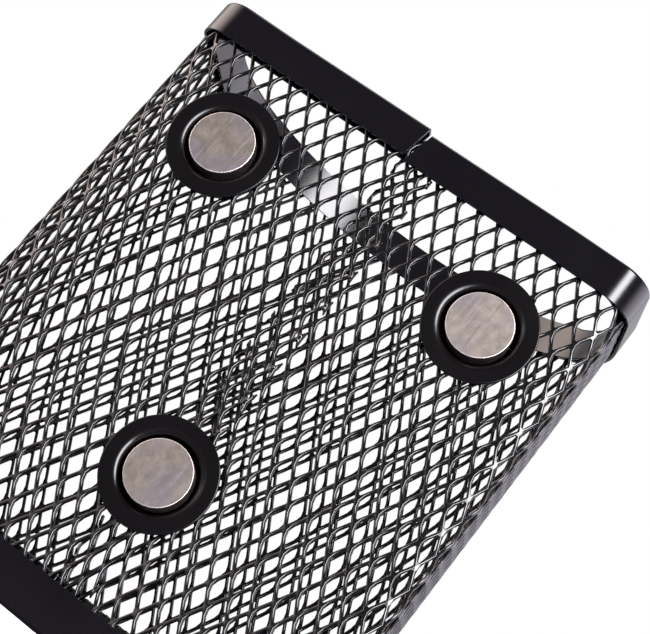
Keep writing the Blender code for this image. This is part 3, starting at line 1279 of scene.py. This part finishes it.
@dataclass
class Studio:
    """Pale card floor, white surround, soft box and the camera of the photograph.

    The wash is the even part of the surround's light. It grows from the camera's side to the far one,
    by the direction's Y, and falls off overhead, by the elevation in degrees.
    """

    eye: Vector = field(default_factory=lambda: Vector((-57.72, 240.35, 3.0)) * MM)
    aim: Vector = field(default_factory=lambda: Vector((-5.31, 24.7, 59.2)) * MM)
    roll: float = -39.438
    lens: float = 88.62
    near_clip: float = 10.0 * MM
    floor_size: float = 600.0 * MM
    floor_cells: int = 8
    wash_span: Pair = (0.4, -0.9)
    wash_light: Pair = (0.2, 0.42)
    overhead_span: Pair = (30.0, 55.0)
    overhead_share: float = 0.3
    lights: tuple[SoftLight, ...] = (
        SoftLight("overhead box", (0.10, -0.10, 0.60), (0.3, 0.3), 0.8, "#FFFFFF"),
    )
    panels: tuple[Panel, ...] = (
        Panel(-31.0, 20.0, (3.0, 14.0), (17.0, 30.0), 24.0, "#FCFAFF"),
        Panel(-31.0, -14.0, (4.0, 8.0), (16.0, 22.0), 6.0, "#FCFAFF"),
        Panel(88.0, 20.0, (6.0, 10.0), (42.0, 28.0), 4.4, "#FFEBE2"),
        Panel(58.0, -5.0, (20.0, 5.0), (34.0, 15.0), 1.3, "#FFF4EE"),
        Panel(46.0, 60.0, (10.0, 6.0), (24.0, 18.0), 1.6, "#FFEDE6"),
        Panel(57.0, -13.0, (4.0, 4.0), (11.0, 12.0), 6.0, "#F6F2FF"),
        Panel(-112.0, 20.0, (8.0, 8.0), (44.0, 30.0), 2.9, "#F4EEFF"),
        Panel(-152.0, 20.0, (4.0, 10.0), (32.0, 30.0), 0.6, "#F4EEFF"),
    )

    def build(self) -> None:
        """Lay the floor, light the surround, hang the lights and set the camera."""
        self.lay_floor()
        self.light_surround()
        for light in self.lights:
            light.hang(self.aim)
        self.set_camera()
        bpy.context.scene.view_settings.view_transform = "Standard"

    def lay_floor(self) -> None:
        """Lay the card that the box stands on."""
        bm = bmesh.new()
        cells = self.floor_cells
        bmesh.ops.create_grid(bm, x_segments=cells, y_segments=cells, size=self.floor_size / 2)
        mesh = bpy.data.meshes.new("studio_card")
        bm.to_mesh(mesh)
        bm.free()
        mesh.materials.append(PaleCard().build())
        card = bpy.data.objects.new("studio_card", mesh)
        bpy.context.scene.collection.objects.link(card)

    def light_surround(self) -> None:
        """White to the eye; to the box, an even wash with the bright panels on it."""
        world = bpy.data.worlds.new("studio")
        bpy.context.scene.world = world
        world.use_nodes = True
        tree = world.node_tree
        ray = add_node(tree, "LightPath", {}).outputs
        way = add_node(tree, "TexCoord", {}).outputs["Generated"]
        parts = add_node(tree, "SeparateXYZ", {"Vector": way}).outputs
        bearing = add_node(tree, "Math", {0: parts["X"], 1: parts["Y"]}, operation="ARCTAN2")
        elevation = add_node(tree, "Math", {0: parts["Z"]}, operation="ARCSINE")
        wash = add_node(
            tree, "MapRange", {"Value": parts["Y"], **ranges(self.wash_span, self.wash_light)})
        overhead = (math.radians(self.overhead_span[0]), math.radians(self.overhead_span[1]))
        dimmed = add_node(
            tree, "MapRange", {"Value": elevation, **ranges(overhead, (1.0, self.overhead_share))})
        even = add_node(tree, "Math", {0: wash, 1: dimmed}, operation="MULTIPLY")
        light = add_node(tree, "CombineXYZ", {axis: even for axis in "XYZ"})
        for panel in self.panels:
            shine = panel.add(tree, bearing, elevation)
            light = add_node(tree, "VectorMath", {0: light, 1: shine}, operation="ADD")
        seen = add_node(
            tree, "Math", {0: ray["Is Camera Ray"], 1: ray["Is Transmission Ray"]}, operation="MAXIMUM")
        shown = add_node(
            tree, "Mix", {"Factor": seen, "A": light, "B": (1.0, 1.0, 1.0)}, data_type="VECTOR")
        fill(tree, tree.nodes["Background"], {"Color": shown, "Strength": 1.0})

    def set_camera(self) -> None:
        """Place the camera as the photograph was taken."""
        forward = (self.aim - self.eye).normalized()
        level_right = forward.cross(Vector((0.0, 0.0, 1.0))).normalized()
        level_up = level_right.cross(forward)
        angle = math.radians(self.roll)
        right = level_right * math.cos(angle) - level_up * math.sin(angle)
        upward = level_right * math.sin(angle) + level_up * math.cos(angle)
        turn = Matrix((right, upward, -forward)).transposed().to_4x4()
        lens = bpy.data.cameras.new("camera")
        lens.sensor_fit = "HORIZONTAL"
        lens.lens = self.lens
        lens.clip_start = self.near_clip
        camera = bpy.data.objects.new("camera", lens)
        camera.matrix_world = Matrix.Translation(self.eye) @ turn
        bpy.context.scene.collection.objects.link(camera)
        bpy.context.scene.camera = camera


def main() -> None:
    """Build every sub-assembly in order."""
    logging.basicConfig(level=logging.INFO, format="%(message)s")
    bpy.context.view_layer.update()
    plan = Plan.of_frame()
    weave = ExpandedMesh()
    finishes = Finishes.mixed()
    seats = [MagnetStation(seat) for seat in Seat]
    MeshWall(plan, weave).build(finishes, seats)
    MeshFloor(plan, weave).build(finishes)
    TopRim(plan).build(finishes)
    BaseRim(plan).build(finishes)
    for seat in seats:
        seat.build(finishes)
    Studio().build()


if __name__ == "__main__":
    main()
